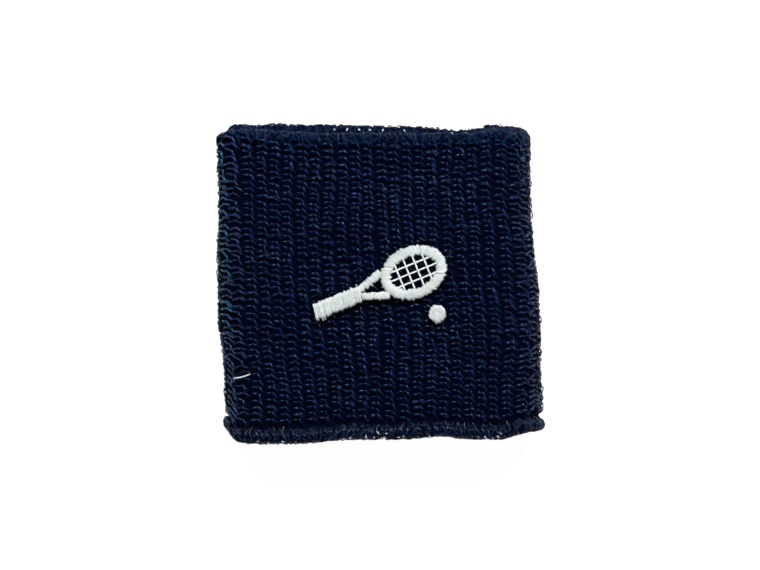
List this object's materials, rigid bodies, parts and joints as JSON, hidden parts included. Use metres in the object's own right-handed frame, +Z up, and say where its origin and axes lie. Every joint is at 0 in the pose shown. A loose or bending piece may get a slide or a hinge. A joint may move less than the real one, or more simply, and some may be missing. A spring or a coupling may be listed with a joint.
{
  "type": "sweat wristband",
  "caption": "Terry sweat wristband lying flat: a knitted tube folded double, closed along one rim, with an embroidered racket emblem on its front wall.",
  "frame": {"origin": "on the resting plane, under the middle of the flattened band", "axes": "+X across the flattened band from side fold to side fold, +Y along the wearer's forearm from the closed hem to the folded rim, +Z up out of the front wall with the emblem"},
  "size_m": [0.082, 0.08, 0.0183],
  "materials": {
    "outer_terry": "dark navy cotton terry loops on a knitted ground",
    "inner_terry": "dark navy cotton terry loops, the lining",
    "rim_terry": "navy terry, stretched over the fold",
    "hem_terry": "navy terry, rolled into a bead",
    "seam_thread": "dark polyester sewing thread",
    "elastic_yarn": "white covered elastic yarn",
    "embroidery_thread": "white embroidery thread in satin stitch",
    "underlay_thread": "white thread in loose zigzag stitches",
    "bobbin_thread": "white spun bobbin thread",
    "backing_sheet": "white non-woven stabiliser sheet"
  },
  "bodies": {
    "root": {"outer_terry_layer": "outer_terry", "inner_terry_layer": "inner_terry", "upper_rim_fold": "rim_terry", "lower_hem_roll": "hem_terry", "closing_seam_thread": "seam_thread", "elastic_yarn_turn_01": "elastic_yarn", "elastic_yarn_turn_02": "elastic_yarn", "elastic_yarn_turn_03": "elastic_yarn", "elastic_yarn_turn_04": "elastic_yarn", "elastic_yarn_turn_05": "elastic_yarn", "elastic_yarn_turn_06": "elastic_yarn", "elastic_yarn_turn_07": "elastic_yarn", "elastic_yarn_turn_08": "elastic_yarn", "elastic_yarn_turn_09": "elastic_yarn", "elastic_yarn_turn_10": "elastic_yarn", "elastic_yarn_turn_11": "elastic_yarn", "elastic_yarn_turn_12": "elastic_yarn", "emblem_racket_head": "embroidery_thread", "emblem_racket_throat_upper": "embroidery_thread", "emblem_racket_throat_lower": "embroidery_thread", "emblem_racket_handle": "embroidery_thread", "emblem_ball": "embroidery_thread", "emblem_string_stitches": "embroidery_thread", "emblem_underlay": "underlay_thread", "emblem_bobbin_thread": "bobbin_thread", "emblem_backing": "backing_sheet", "loose_thread_end": "embroidery_thread"}
  },
  "joints": []
}
